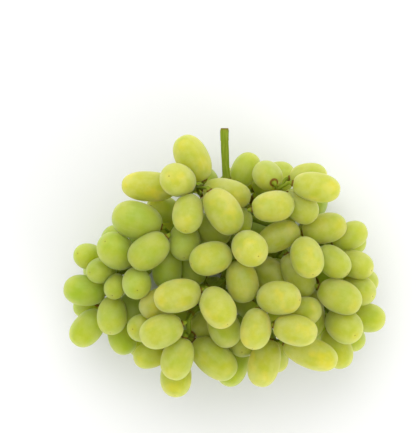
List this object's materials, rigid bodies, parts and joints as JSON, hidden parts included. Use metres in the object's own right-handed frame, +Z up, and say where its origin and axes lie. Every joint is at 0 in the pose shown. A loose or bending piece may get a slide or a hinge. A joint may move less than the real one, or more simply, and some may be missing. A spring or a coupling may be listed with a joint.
{
  "type": "bunch of grapes",
  "caption": "Bunch of long pale green table grapes on forked stems, lying flat, with a cut woody stalk at one end.",
  "frame": {"origin": "middle of the bunch's bounding box in plan, on the surface it lies on", "axes": "+Z up from the surface, +Y towards the cut end of the stalk, +X across the bunch"},
  "size_m": [0.1776, 0.1482, 0.091],
  "materials": {
    "berries": "waxy, satin",
    "stem": "matt"
  },
  "bodies": {
    "root": {"spray_upper_left": "berries", "spray_upper_right": "berries", "spray_right": "berries", "spray_centre": "berries", "spray_lower_right": "berries", "spray_bottom_right": "berries", "spray_centre_low": "berries", "spray_lower_left": "berries", "spray_tip": "berries", "spray_left": "berries", "spray_left_wing": "berries", "main_stem": "stem"}
  },
  "joints": []
}
